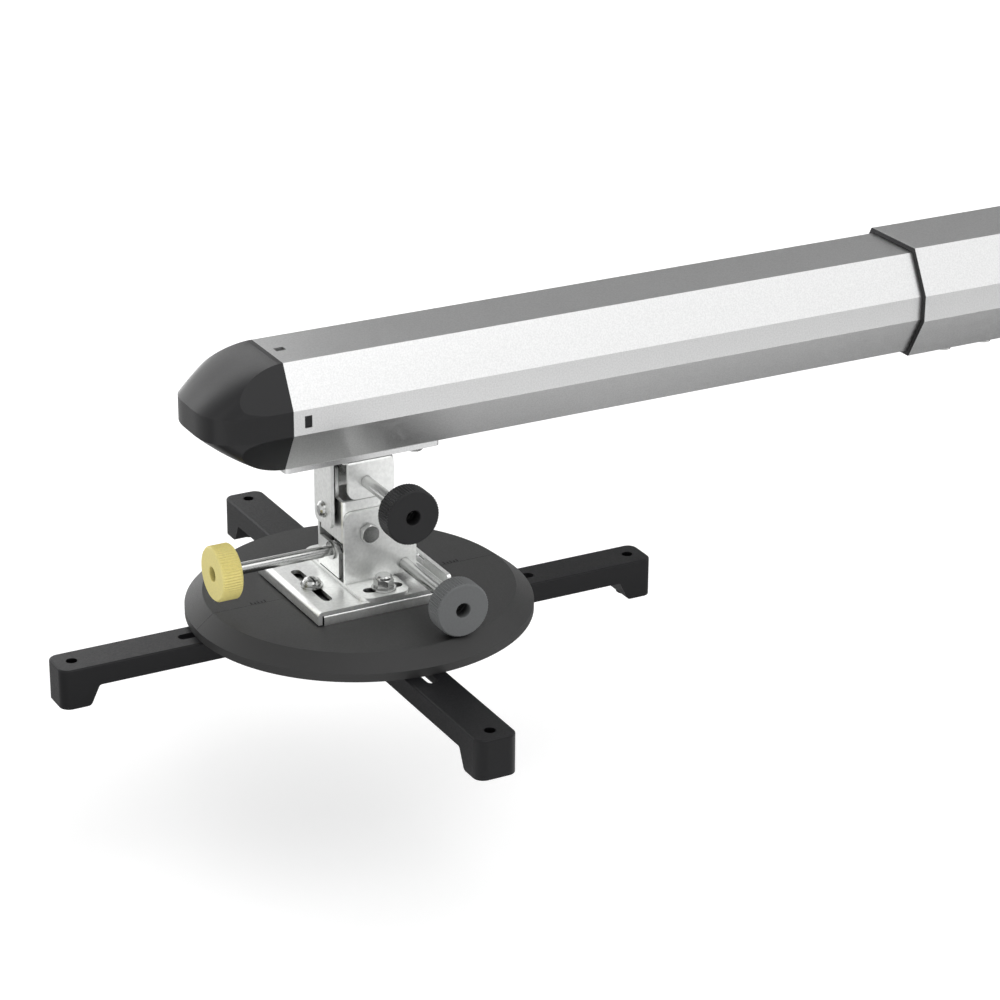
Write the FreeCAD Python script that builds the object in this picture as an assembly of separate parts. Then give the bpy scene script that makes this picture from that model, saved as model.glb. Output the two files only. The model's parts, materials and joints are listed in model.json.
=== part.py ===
import FreeCAD, Part
import math
import os
from FreeCAD import Vector

# A telescopic wall arm that carries a ceiling-style projector cradle.
# Millimetres. +Z is up and +Y points at the wall. The pieces are drawn from the open end of the
# inner tube, where y = 0, and move by REACH at the end so that the origin lies on the wall.

# The arm
REACH = 1056.0
INNER_TUBE_LENGTH = 600.0
TUBE_WIDTH = 67.2
TUBE_HEIGHT = 62.4
TUBE_FLAT = 41.5
TUBE_BAND = 14.5
INNER_TUBE_WALL = 2.0
OUTER_TUBE_WALL = 1.6
TUBE_GAP = 1.2
OUTER_TUBE_MOUTH = 414.4
COLLAR_FLANGE = 2.2
COLLAR_SLEEVE = 25.0
CAP_LENGTH = 47.4
CAP_PLUG = 14.0
SIDE_CLIP_WIDTH = 7.0
SIDE_CLIP_SPAN = (6.6, 11.0)
TOP_CLIP_WIDTH = 5.0
TOP_CLIP_SPAN = (4.6, 10.4)

# The wall plate
WALL_PLATE = (150.0, 5.0, 170.0)
WALL_HOLES = (110.0, 130.0)
WALL_HOLE_RADIUS = 4.25
CABLE_HOLE_RADIUS = 15.0
SPIGOT_LENGTH = 80.0
SPIGOT_WALL = 3.0

# The hanger strip and the top bracket
SHEET = 2.0
STRIP_WIDTH = 42.0
STRIP_LENGTH = 95.5
STRIP_THICKNESS = 3.0
TOP_BRACKET_FRONT = 32.0
TOP_BRACKET_BACK = 67.0
TOP_TAB_HALF_WIDTH = 11.0
TOP_TAB_BOTTOM = -78.0
SIDE_TAB_FACE = 20.5
SIDE_TAB_SPAN = (38.3, 66.8)
SIDE_TAB_BOTTOM = -57.5

# The three pivots and their adjusters
ROLL_PIVOT_Z = -68.7
ROLL_SCREW_Z = -47.7
PITCH_PIVOT_Y = 51.6
PITCH_PIVOT_Z = -80.0
PITCH_ARM = 15.0
YAW_PIVOT_Y = 54.3
YAW_ARM = 20.1
YAW_SCREW_Z = -103.8
ROLL_KNOB_FACE = 79.0
PITCH_KNOB_FACE = -36.5
YAW_KNOB_FACE = 90.0
SCREW_RADIUS = 3.0
SHANK_RADIUS = 3.4
KNOB_RADIUS = 16.0
KNOB_THICKNESS = 12.5
KNOB_RIBS = 60
KNOB_RECESS = (4.3, 7.0)

# The middle link and the lower bracket
LINK_HALF_WIDTH = 15.3
LINK_FRONT = 37.0
LINK_BACK = 62.0
LINK_TOP = -60.5
LINK_SHOULDER = -85.6
LINK_BOTTOM = -102.0
EAR_FACE = 17.5
EAR_SPAN = (37.0, 82.0)
EAR_TOP = -66.5
FRONT_TAB_TOP = -91.0
FRONT_TAB_END = 9.5
FOOT_TOP = -109.7
FOOT_THICKNESS = 2.3
FOOT_HALF_WIDTH = 41.0
FOOT_BACK = 68.0
ARC_SLOT_RADIUS = 31.5
ARC_SLOT_HALF_ANGLE = 16.0

# The slide plate and its rail
SLIDE_THICKNESS = 2.4
SLIDE_HALF_WIDTH = 40.5
SLIDE_FRONT = 9.5
SLIDE_BACK = 92.4
SLIDE_FOLD_BOTTOM = -119.7
SLIDE_FLANGE_TOP = -105.5
LOCK_SLOT = (-19.0, 28.0)
LOCK_SCREW_AT = (5.0, 22.0)
RAIL_SPAN = (13.0, 95.0)
RAIL_SHEET = 1.5
RAIL_LIP = 5.0

# The disc and its four legs
DISC_RADIUS = 100.0
DISC_TOP_RADIUS = 89.7
DISC_TOP = -120.35
DISC_BEVEL = 8.1
DISC_RIM = 4.8
DISC_SHELL = 3.0
LEG_OFFSET = -7.5
LEG_WIDTH = 24.5
LEG_INNER_END = 44.0
LEG_OUTER_END = 183.5
LEG_HEIGHT = 12.0
LEG_FOOT_HEIGHT = 23.5
LEG_SKIN = 3.0
LEG_HOLE_AT = 173.0
LEG_HOLE_RADIUS = 3.25
LEG_CLAMP_AT = 72.0
LEG_SLOT = (51.0, 106.0)

# Clearances
RUNNING = 0.05
SLIDING = 0.3
SEAT = 0.1
BOLT_PLAY = 0.3

TUBE_BOTTOM = -TUBE_HEIGHT / 2
WEB_TOP = TUBE_BOTTOM - STRIP_THICKNESS
WEB_BOTTOM = WEB_TOP - SHEET
ROLL_MID = (TOP_BRACKET_FRONT + TOP_BRACKET_BACK) / 2
PITCH_SCREW_Z = PITCH_PIVOT_Z - PITCH_ARM
YAW_SCREW_Y = YAW_PIVOT_Y + YAW_ARM
SLIDE_TOP = FOOT_TOP - FOOT_THICKNESS
SLIDE_BOTTOM = SLIDE_TOP - SLIDE_THICKNESS
LEG_TOP = DISC_TOP - DISC_BEVEL - DISC_RIM

X_AXIS = Vector(1, 0, 0)
Y_AXIS = Vector(0, 1, 0)
Z_AXIS = Vector(0, 0, 1)


def box(x, y, z):
    """A block between the two values of each pair."""
    size = (x[1] - x[0], y[1] - y[0], z[1] - z[0])
    return Part.makeBox(size[0], size[1], size[2], Vector(x[0], y[0], z[0]))


def rod(radius, start, end):
    """A round bar from one point to another."""
    line = end - start
    return Part.makeCylinder(radius, line.Length, start, line)


def ring(outer, inner, start, end):
    return rod(outer, start, end).cut(rod(inner, start, end))


def prism(points, along):
    """A closed outline of points, pushed along a vector."""
    outline = Part.makePolygon(points + points[:1])
    return Part.Face(outline).extrude(along)


def turned(profile, base, axis):
    """A profile of (radius, height) points, turned about an axis through base."""
    points = [Vector(radius, 0, height) for radius, height in profile]
    outline = Part.makePolygon(points + points[:1])
    solid = Part.Face(outline).revolve(Vector(0, 0, 0), Z_AXIS, 360)
    solid.Placement = FreeCAD.Placement(base, FreeCAD.Rotation(Z_AXIS, axis))
    return solid


def hexagon(across_flats, base, along):
    """A hexagonal bar that starts at base."""
    radius = across_flats / 2 / math.cos(math.pi / 6)
    turns = [math.pi / 3 * i for i in range(6)]
    points = [Vector(radius * math.cos(turn), radius * math.sin(turn), 0) for turn in turns]
    bar = prism(points, Vector(0, 0, along.Length))
    bar.Placement = FreeCAD.Placement(base, FreeCAD.Rotation(Z_AXIS, along))
    return bar


def slot_cutter(radius, start, end, along):
    """A round-ended slot between two points, pushed along a vector."""
    body = rod(radius, start, start + along)
    if (end - start).Length < 1e-6:
        return body
    side = (end - start).cross(along).normalize() * radius
    corners = [start + side, end + side, end - side, start - side]
    return body.fuse([rod(radius, end, end + along), prism(corners, along)]).removeSplitter()


def edges_on(shape, **where):
    """The edges that lie wholly at the given x, y or z."""
    found = []
    for edge in shape.Edges:
        if edge.Degenerated:
            continue
        points = [vertex.Point for vertex in edge.Vertexes]
        points.append(edge.valueAt((edge.FirstParameter + edge.LastParameter) / 2))
        if all(abs(getattr(p, axis) - value) < 1e-4 for p in points for axis, value in where.items()):
            found.append(edge)
    return found


def rounded(shape, radius, **where):
    """Rounds the edges that lie at the given x, y or z."""
    return shape.makeFillet(radius, edges_on(shape, **where))


def fused(first, *others):
    return first.fuse(list(others)).removeSplitter()


def group(solids):
    return Part.makeCompound(solids)


# The tubes share one eight-sided section: level top and bottom, upright bands and slanted sides.

def tube_section(grow=0.0):
    """Half width, half height, half flat and half band of the section, grown outward all round."""
    width = TUBE_WIDTH / 2
    height = TUBE_HEIGHT / 2
    flat = TUBE_FLAT / 2
    band = TUBE_BAND / 2
    slant = Vector(height - band, width - flat, 0).normalize()
    reach = slant.x * flat + slant.y * height + grow
    wide = width + grow
    high = height + grow
    return wide, high, (reach - slant.y * high) / slant.x, (reach - slant.x * wide) / slant.y


def section_wire(section, y):
    width, height, flat, band = section
    quarter = [(flat, height), (width, band), (width, -band), (flat, -height)]
    points = [Vector(x, y, z) for x, z in quarter]
    points += [Vector(-x, y, z) for x, z in reversed(quarter)]
    return Part.makePolygon(points + points[:1])


def tube(outer_grow, inner_grow, y_start, y_end):
    length = Vector(0, y_end - y_start, 0)
    outside = Part.Face(section_wire(tube_section(outer_grow), y_start)).extrude(length)
    inside = Part.Face(section_wire(tube_section(inner_grow), y_start)).extrude(length)
    return outside.cut(inside)


def clip_blocks(play, depth, rise):
    """Three blocks near the tip, on both sides and the top, from depth below the tube's skin."""
    span = (SIDE_CLIP_SPAN[0] + play, SIDE_CLIP_SPAN[1] - play)
    top_span = (TOP_CLIP_SPAN[0] + play, TOP_CLIP_SPAN[1] - play)
    across = (play - SIDE_CLIP_WIDTH / 2, SIDE_CLIP_WIDTH / 2 - play)
    along_top = (play - TOP_CLIP_WIDTH / 2, TOP_CLIP_WIDTH / 2 - play)
    side = TUBE_WIDTH / 2
    top = TUBE_HEIGHT / 2
    near = box((side - depth, side + rise), span, across)
    far = box((-side - rise, -side + depth), span, across)
    above = box(along_top, top_span, (top - depth, top + rise))
    return [near, far, above]


def clip_windows(depth):
    """The windows that the end cap snaps into."""
    return clip_blocks(0.0, depth, 1.0)


HANGER_BOLTS = [(x, y) for x in (-8.0, 8.0) for y in (43.5, 58.0)] + [(x, 84.0) for x in (-12.0, 12.0)]
HANGER_BOLT_RADIUS = 2.5
HANGER_BOLT_HOLE = HANGER_BOLT_RADIUS + 0.25


def hanger_bolt_holes(z_low, z_high):
    return [rod(HANGER_BOLT_HOLE, Vector(x, y, z_low), Vector(x, y, z_high)) for x, y in HANGER_BOLTS]


def inner_tube():
    body = tube(0, -INNER_TUBE_WALL, 0, INNER_TUBE_LENGTH)
    body = body.cut(clip_windows(INNER_TUBE_WALL + 1))
    return body.cut(hanger_bolt_holes(TUBE_BOTTOM - 1, TUBE_BOTTOM + INNER_TUBE_WALL + 1))


def outer_tube():
    grow = TUBE_GAP + OUTER_TUBE_WALL
    body = tube(grow, TUBE_GAP, OUTER_TUBE_MOUTH, REACH - WALL_PLATE[1])
    return body.cut(lock_nut_holes() + fixing_screw_holes())


def guide_collar():
    """A plastic lip flush with the outer tube, with a thin sleeve between the two tubes."""
    grow = TUBE_GAP + OUTER_TUBE_WALL
    flange = tube(grow, SLIDING, OUTER_TUBE_MOUTH - COLLAR_FLANGE, OUTER_TUBE_MOUTH)
    sleeve = tube(TUBE_GAP, SLIDING, OUTER_TUBE_MOUTH, OUTER_TUBE_MOUTH + COLLAR_SLEEVE)
    sleeve = sleeve.cut(lock_nut_holes())
    return fused(flange, sleeve)


# The arm lock: two screws through rivet nuts in the outer tube press on the inner tube.

LOCK_SCREW_PLACES = [OUTER_TUBE_MOUTH + 40.0, OUTER_TUBE_MOUTH + 70.0]
LOCK_NUT_RADIUS = 4.5
LOCK_NUT_FLANGE = 6.5
OUTER_BOTTOM = TUBE_BOTTOM - TUBE_GAP - OUTER_TUBE_WALL


def lock_nut_holes():
    low = OUTER_BOTTOM - 1
    high = TUBE_BOTTOM - RUNNING
    return [rod(LOCK_NUT_RADIUS, Vector(0, y, low), Vector(0, y, high)) for y in LOCK_SCREW_PLACES]


def arm_lock_nuts():
    nuts = []
    for y in LOCK_SCREW_PLACES:
        face = Vector(0, y, OUTER_BOTTOM)
        flange = rod(LOCK_NUT_FLANGE, face - Z_AXIS, face)
        barrel = rod(LOCK_NUT_RADIUS, face, Vector(0, y, TUBE_BOTTOM - SLIDING))
        thread = rod(SCREW_RADIUS, face - Z_AXIS * 2, face + Z_AXIS * 4)
        nuts.append(fused(flange, barrel).cut(thread))
    return group(nuts)


def arm_lock_screws():
    """Socket-head screws whose flat tips bear on the inner tube."""
    screws = []
    for y in LOCK_SCREW_PLACES:
        tip = Vector(0, y, TUBE_BOTTOM - RUNNING)
        seat = Vector(0, y, OUTER_BOTTOM - 3.0)
        head = rod(5.0, seat - Z_AXIS * 6, seat)
        socket = hexagon(5.0, seat - Z_AXIS * 6, Z_AXIS * 3)
        screws.append(fused(rod(SCREW_RADIUS, seat, tip), head).cut(socket))
    return group(screws)


# The wall plate with its welded spigot, and the four screws that hold the outer tube on it.

FIXING_PLACES = [REACH - 60.0, REACH - 25.0]
FIXING_RADIUS = 2.5


def fixing_screw_holes():
    side = TUBE_WIDTH / 2 + TUBE_GAP + OUTER_TUBE_WALL
    depth = OUTER_TUBE_WALL + SPIGOT_WALL + 2
    holes = []
    for y in FIXING_PLACES:
        holes.append(rod(FIXING_RADIUS, Vector(side + 1, y, 0), Vector(side - depth, y, 0)))
        holes.append(rod(FIXING_RADIUS, Vector(-side - 1, y, 0), Vector(-side + depth, y, 0)))
    return holes


def tube_fixing_screws():
    side = TUBE_WIDTH / 2 + TUBE_GAP + OUTER_TUBE_WALL
    screws = []
    for y in FIXING_PLACES:
        for sign in (1, -1):
            face = Vector(sign * side, y, 0)
            out = Vector(sign, 0, 0)
            head = turned([(0, 0), (4.75, 0), (4.5, 1.6), (3.4, 2.6), (0, 3.0)], face, out)
            drive = hexagon(3.0, face + out * 1.2, out * 3)
            shank = rod(FIXING_RADIUS, face - out * (OUTER_TUBE_WALL + SPIGOT_WALL + 1), face)
            screws.append(fused(head, shank).cut(drive))
    return group(screws)


def wall_plate():
    width, thickness, height = WALL_PLATE
    front = REACH - thickness
    plate = box((-width / 2, width / 2), (front, REACH), (-height / 2, height / 2))
    corners = [e for e in plate.Edges if abs(e.Length - thickness) < 1e-6]
    plate = plate.makeFillet(10.0, corners)
    outer = TUBE_GAP - SEAT
    spigot = tube(outer, outer - SPIGOT_WALL, front - SPIGOT_LENGTH, front)
    body = fused(plate, spigot)
    holes = [rod(CABLE_HOLE_RADIUS, Vector(0, front - 1, 0), Vector(0, REACH + 1, 0))]
    for x in (-WALL_HOLES[0] / 2, WALL_HOLES[0] / 2):
        for z in (-WALL_HOLES[1] / 2, WALL_HOLES[1] / 2):
            holes.append(rod(WALL_HOLE_RADIUS, Vector(x, front - 1, z), Vector(x, REACH + 1, z)))
    return body.cut(holes + fixing_screw_holes())


# The end cap: the tube's own eight-sided form, cut off by a brow that runs down to a rounded band.
# The brow is lofted through level outlines whose nose draws back with height.

CAP_BROW_POWER = 1.95
CAP_CHIN_POWER = 1.78
CAP_PLAN_POWER = 3.6
CAP_SKIN = 2.5
CLIP_LUG_DEPTH = 0.8
CAP_SHARES = [0.03, 0.15, 0.32, 0.47, 0.62, 0.76, 0.89, 1.0]
CAP_PLAN_STEPS = 12


def cap_outline(nose, half_width, z):
    """A level outline: a superellipse in front of the tube's end, closed by a straight back."""
    points = []
    for i in range(CAP_PLAN_STEPS + 1):
        turn = math.pi * i / CAP_PLAN_STEPS
        across = abs(math.cos(turn)) ** (2 / CAP_PLAN_POWER)
        ahead = abs(math.sin(turn)) ** (2 / CAP_PLAN_POWER)
        points.append(Vector(math.copysign(half_width * across, math.cos(turn)), -nose * ahead, z))
    curve = Part.BSplineCurve()
    curve.interpolate(Points=points, InitialTangent=-Y_AXIS, FinalTangent=Y_AXIS)
    right = Vector(half_width, 1.0, z)
    left = Vector(-half_width, 1.0, z)
    sides = [Part.makeLine(points[-1], left), Part.makeLine(left, right), Part.makeLine(right, points[0])]
    return Part.Wire([curve.toShape()] + sides)


def cap_brow(power, sign, shrink):
    """The part of the cap above the band, or with a negative sign the part below it."""
    band = TUBE_BAND / 2 - shrink / 3
    full = TUBE_HEIGHT / 2 - shrink
    nose = CAP_LENGTH - shrink
    half_width = TUBE_WIDTH / 2 - shrink
    outlines = []
    for share in CAP_SHARES:
        height = full - (full - band) * share ** power
        outlines.append(cap_outline(nose * share, half_width, sign * height))
    return Part.makeLoft(outlines, True, False)


def cap_stock(shrink):
    """The tube's level and slanted planes, without its bands, drawn forward past the nose."""
    wide, high, flat, band = tube_section(-shrink)
    middle = flat + high * (wide - flat) / (high - band)
    front = -CAP_LENGTH - 1
    quarter = [(flat, high), (middle, 0), (flat, -high)]
    points = [Vector(x, front, z) for x, z in quarter]
    points += [Vector(-x, front, z) for x, z in reversed(quarter)]
    return prism(points, Y_AXIS * -front)


def cap_body(shrink):
    band = TUBE_BAND / 2 - shrink / 3
    half_width = TUBE_WIDTH / 2 - shrink
    outline = cap_outline(CAP_LENGTH - shrink, half_width, -band)
    middle = Part.Face(outline).extrude(Z_AXIS * band * 2)
    body = fused(middle, cap_brow(CAP_BROW_POWER, 1, shrink), cap_brow(CAP_CHIN_POWER, -1, shrink))
    return body.common(cap_stock(shrink))


def end_cap():
    shell = cap_body(0.0).cut(cap_body(CAP_SKIN))
    plug = tube(-INNER_TUBE_WALL - SEAT, -INNER_TUBE_WALL - SEAT - CAP_SKIN, -0.5, CAP_PLUG)
    rim = tube(0, -INNER_TUBE_WALL - CAP_SKIN, -CAP_SKIN, 0)
    lugs = clip_blocks(SEAT, INNER_TUBE_WALL + 1, -CLIP_LUG_DEPTH)
    return fused(shell, rim, plug, *lugs)


# The hanger: a strip under the inner tube, the top bracket, and the bolts through both.

def hanger_strip():
    half = STRIP_WIDTH / 2
    body = box((-half, half), (0, STRIP_LENGTH), (WEB_TOP, TUBE_BOTTOM))
    body = body.makeFillet(3.0, [e for e in body.Edges if abs(e.Length - STRIP_THICKNESS) < 1e-6])
    return body.cut(hanger_bolt_holes(WEB_TOP - 1, TUBE_BOTTOM + 1))


def top_bracket():
    tab = TOP_TAB_HALF_WIDTH
    front = TOP_BRACKET_FRONT
    back = TOP_BRACKET_BACK
    side = SIDE_TAB_FACE
    inner_side = side - SHEET
    web = box((-tab, tab), (front, back), (WEB_BOTTOM, WEB_TOP))
    wing = box((-15.0, side), SIDE_TAB_SPAN, (WEB_BOTTOM, WEB_TOP))
    front_tab = box((-tab, tab), (front, front + SHEET), (TOP_TAB_BOTTOM, WEB_TOP))
    back_tab = box((-tab, tab), (back - SHEET, back), (TOP_TAB_BOTTOM, WEB_TOP))
    side_tab = box((inner_side, side), SIDE_TAB_SPAN, (SIDE_TAB_BOTTOM, WEB_TOP))
    for x in (-tab, tab):
        front_tab = rounded(front_tab, 4.5, x=x, z=TOP_TAB_BOTTOM)
        back_tab = rounded(back_tab, 4.5, x=x, z=TOP_TAB_BOTTOM)
    for y in SIDE_TAB_SPAN:
        side_tab = rounded(side_tab, 5.0, y=y, z=SIDE_TAB_BOTTOM)
    body = fused(web, wing, front_tab, back_tab, side_tab)
    body = rounded(body, 2.6, y=front, z=WEB_TOP)
    body = rounded(body, 2.6, y=back, z=WEB_TOP)
    body = rounded(body, 2.6, x=side, z=WEB_TOP)
    body = rounded(body, 0.6, x=inner_side, z=WEB_BOTTOM)
    body = rounded(body, 0.6, y=front + SHEET, z=WEB_BOTTOM)
    body = rounded(body, 0.6, y=back - SHEET, z=WEB_BOTTOM)
    rivet_line = rod(SCREW_RADIUS, Vector(0, front - 1, ROLL_PIVOT_Z), Vector(0, back + 1, ROLL_PIVOT_Z))
    screw_hole = rod(SCREW_RADIUS + RUNNING, Vector(inner_side - 1, ROLL_MID, ROLL_SCREW_Z),
                     Vector(side + 1, ROLL_MID, ROLL_SCREW_Z))
    return body.cut([rivet_line, screw_hole] + hanger_bolt_holes(WEB_BOTTOM - 1, WEB_TOP + 1))


def hanger_bolts():
    """Hex bolts from below. The four inner ones also hold the top bracket."""
    bolts = []
    for x, y in HANGER_BOLTS:
        seat = WEB_BOTTOM if y < TOP_BRACKET_BACK else WEB_TOP
        head = hexagon(8.0, Vector(x, y, seat), -Z_AXIS * 3.5)
        crown = turned([(0, -1), (4.9, -1), (4.9, 2.9), (4.2, 3.5), (0, 3.5)], Vector(x, y, seat), -Z_AXIS)
        shank = rod(HANGER_BOLT_RADIUS, Vector(x, y, seat), Vector(x, y, TUBE_BOTTOM + 8.5))
        bolts.append(fused(head.common(crown), shank))
    return group(bolts)


def hanger_nuts():
    floor = TUBE_BOTTOM + INNER_TUBE_WALL
    nuts = []
    for x, y in HANGER_BOLTS:
        nut = hexagon(8.0, Vector(x, y, floor), Z_AXIS * 4)
        nuts.append(nut.cut(rod(HANGER_BOLT_RADIUS, Vector(x, y, floor - 1), Vector(x, y, floor + 5))))
    return group(nuts)


# The roll axis: two rivets, the spacers behind them, and the middle link that swings on them.

def roll_rivets():
    """Domed rivets through the bracket's tabs, closed over inside the link."""
    rivets = []
    for outward, tab in ((-1, TOP_BRACKET_FRONT), (1, TOP_BRACKET_BACK)):
        out = Vector(0, outward, 0)
        face = Vector(0, tab, ROLL_PIVOT_Z)
        link_face = LINK_FRONT if outward < 0 else LINK_BACK
        inside = Vector(0, link_face - outward * (SHEET + SEAT), ROLL_PIVOT_Z)
        dome = turned([(0, 0), (5.0, 0), (4.8, 1.0), (4.0, 2.0), (2.6, 2.8), (0, 3.2)], face, out)
        shank = rod(SCREW_RADIUS, face, inside)
        tail = rod(4.5, inside - out * 1.5, inside)
        rivets.append(fused(dome, shank, tail))
    return group(rivets)


def roll_spacers():
    spacers = []
    for tab, link in ((TOP_BRACKET_FRONT + SHEET, LINK_FRONT), (TOP_BRACKET_BACK - SHEET, LINK_BACK)):
        gap = RUNNING if link > tab else -RUNNING
        start = Vector(0, tab, ROLL_PIVOT_Z)
        end = Vector(0, link - gap, ROLL_PIVOT_Z)
        spacers.append(ring(6.0, SCREW_RADIUS, start, end))
    return group(spacers)


JOURNAL_RADIUS = 3.5
JOURNAL_PLAY = 0.1
LUG_HALF_WIDTH = 6.2
LUG_TOP = ROLL_SCREW_Z + 6.2
CHEEK_HALF_WIDTH = 6.5


def link_slot(centre, along, travel):
    """A slot that lets a nut's journal rise and fall a little as the link swings."""
    rise = Z_AXIS * travel
    return slot_cutter(JOURNAL_RADIUS + JOURNAL_PLAY, centre - rise, centre + rise, along)


def middle_link():
    """A folded box with a lug at each end for the roll nut and two cheeks for the pitch nut."""
    half = LINK_HALF_WIDTH
    whole = (-half, half)
    walls = []
    cheeks = []
    for start, end in ((LINK_FRONT, LINK_FRONT + SHEET), (LINK_BACK - SHEET, LINK_BACK)):
        walls.append(box(whole, (start, end), (LINK_SHOULDER, LINK_TOP)))
        lug = box((-LUG_HALF_WIDTH, LUG_HALF_WIDTH), (start, end), (LINK_TOP - 1, LUG_TOP))
        for x in (-LUG_HALF_WIDTH, LUG_HALF_WIDTH):
            lug = rounded(lug, 3.0, x=x, z=LUG_TOP)
        walls.append(lug)
    for inner, outer in ((half - SHEET, half), (-half, SHEET - half)):
        walls.append(box((inner, outer), (LINK_FRONT, LINK_BACK), (LINK_SHOULDER, LINK_TOP)))
        span = (PITCH_PIVOT_Y - CHEEK_HALF_WIDTH, PITCH_PIVOT_Y + CHEEK_HALF_WIDTH)
        cheek = box((inner, outer), span, (LINK_BOTTOM, LINK_SHOULDER))
        for y in span:
            cheek = rounded(cheek, 4.0, y=y, z=LINK_BOTTOM)
        cheeks.append(cheek)
    body = fused(*walls)
    for x in (-half, half):
        for y in (LINK_FRONT, LINK_BACK):
            body = rounded(body, 2.4, x=x, y=y)
    body = fused(body, *cheeks)
    rivet_holes = rod(SCREW_RADIUS + RUNNING, Vector(0, LINK_FRONT - 1, ROLL_PIVOT_Z),
                      Vector(0, LINK_BACK + 1, ROLL_PIVOT_Z))
    pivot_holes = rod(SCREW_RADIUS + RUNNING, Vector(-half - 1, PITCH_PIVOT_Y, PITCH_PIVOT_Z),
                      Vector(half + 1, PITCH_PIVOT_Y, PITCH_PIVOT_Z))
    roll_slots = link_slot(Vector(0, LINK_FRONT - 1, ROLL_SCREW_Z), Y_AXIS * 30, 0.2)
    pitch_slots = link_slot(Vector(-half - 1, PITCH_PIVOT_Y, PITCH_SCREW_Z), X_AXIS * 40, 0.35)
    return body.cut([rivet_holes, pivot_holes, roll_slots, pitch_slots])


def cross_nut(centre, screw_axis, journal_axis, half_length, body_half):
    """A block nut with a journal at each end. The screw runs through its middle."""
    block_axis = journal_axis * (half_length - SHEET - SLIDING * 1.5)
    journal = journal_axis * (half_length - SLIDING)
    third = screw_axis.cross(journal_axis)
    half = screw_axis * body_half[0]
    tall = third * body_half[1]
    corners = [centre - block_axis + half + tall, centre - block_axis - half + tall,
               centre - block_axis - half - tall, centre - block_axis + half - tall]
    block = prism(corners, block_axis * 2)
    pins = rod(JOURNAL_RADIUS, centre - journal, centre + journal)
    thread = rod(SCREW_RADIUS + RUNNING, centre - screw_axis * 20, centre + screw_axis * 20)
    return fused(block, pins).cut(thread)


def roll_nut():
    centre = Vector(0, ROLL_MID, ROLL_SCREW_Z)
    return cross_nut(centre, X_AXIS, Y_AXIS, (LINK_BACK - LINK_FRONT) / 2, (5.5, 6.2))


def pitch_nut():
    centre = Vector(0, PITCH_PIVOT_Y, PITCH_SCREW_Z)
    return cross_nut(centre, Y_AXIS, X_AXIS, LINK_HALF_WIDTH, (5.5, 5.5))


YAW_NUT_RADIUS = 5.4
YAW_NUT_TOP = YAW_SCREW_Z + 6.0


def yaw_nut():
    """A round nut that stands on the slide plate, with a journal down through its slot."""
    centre = Vector(0, YAW_SCREW_Y, YAW_SCREW_Z)
    base = Vector(0, YAW_SCREW_Y, SLIDE_TOP + SLIDING)
    top = Vector(0, YAW_SCREW_Y, YAW_NUT_TOP)
    foot = Vector(0, YAW_SCREW_Y, SLIDE_BOTTOM - 1.2)
    thread = rod(SCREW_RADIUS + RUNNING, centre - X_AXIS * 20, centre + X_AXIS * 20)
    return fused(rod(YAW_NUT_RADIUS, base, top), rod(JOURNAL_RADIUS, foot, top)).cut(thread)


# The adjusting screws: a threaded end, a neck in the sheet's hole, a thicker shank and the knob.

CLIP_THICKNESS = 1.0
CLIP_RADIUS = 5.2


def adjuster_screw(seat, outward, inner_end, neck, face):
    """seat is the outer face of the sheet, on the screw's axis. Lengths run outward from it."""
    start = seat - outward * inner_end
    shoulder = seat + outward * neck
    end = seat + outward * (face - KNOB_RECESS[1] - 0.6)
    thread = rod(SCREW_RADIUS, start + outward, shoulder)
    point = Part.makeCone(SCREW_RADIUS - 1, SCREW_RADIUS, 1.0, start, outward)
    socket = hexagon(3.0, end - outward * 2.5, outward * 3)
    return fused(point, thread, rod(SHANK_RADIUS, shoulder, end)).cut(socket)


def screw_clip(face, outward):
    """A retaining ring on the screw, against one face of the sheet."""
    return ring(CLIP_RADIUS, SCREW_RADIUS, face, face + outward * CLIP_THICKNESS)


def knob(seat, outward, face):
    """A ribbed knob with a deep recess. The ribs are a fine zigzag cut off by the rim's chamfers."""
    points = []
    for i in range(KNOB_RIBS * 2):
        radius = KNOB_RADIUS if i % 2 == 0 else KNOB_RADIUS - 0.55
        angle = math.pi * i / KNOB_RIBS
        points.append(Vector(radius * math.cos(angle), radius * math.sin(angle), 0))
    ribbed = prism(points, Vector(0, 0, KNOB_THICKNESS))
    edge = KNOB_RADIUS + 1
    chamfered = turned([(0, 0), (edge - 2.0, 0), (edge, 2.0), (edge, KNOB_THICKNESS - 2.0),
                        (edge - 2.0, KNOB_THICKNESS), (0, KNOB_THICKNESS)], Vector(0, 0, 0), Z_AXIS)
    body = ribbed.common(chamfered)
    radius, depth = KNOB_RECESS
    floor = KNOB_THICKNESS - depth
    mouth = [(radius, KNOB_THICKNESS - 0.4), (radius + 0.5, KNOB_THICKNESS + 0.1), (0, KNOB_THICKNESS + 0.1)]
    recess = turned([(0, floor), (radius, floor)] + mouth, Vector(0, 0, 0), Z_AXIS)
    bore = rod(SHANK_RADIUS, Vector(0, 0, -1), Vector(0, 0, KNOB_THICKNESS))
    body = body.cut([recess, bore])
    base = seat + outward * (face - KNOB_THICKNESS)
    body.Placement = FreeCAD.Placement(base, FreeCAD.Rotation(Z_AXIS, outward))
    return body


ROLL_SEAT = Vector(SIDE_TAB_FACE, ROLL_MID, ROLL_SCREW_Z)
PITCH_SEAT = Vector(0, EAR_SPAN[0], PITCH_SCREW_Z)
YAW_SEAT = Vector(EAR_FACE, YAW_SCREW_Y, YAW_SCREW_Z)
PITCH_NECK = 6.0


def roll_screw():
    return adjuster_screw(ROLL_SEAT, X_AXIS, SIDE_TAB_FACE + 9.5, SEAT, ROLL_KNOB_FACE - SIDE_TAB_FACE)


def roll_knob():
    return knob(ROLL_SEAT, X_AXIS, ROLL_KNOB_FACE - SIDE_TAB_FACE)


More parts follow.
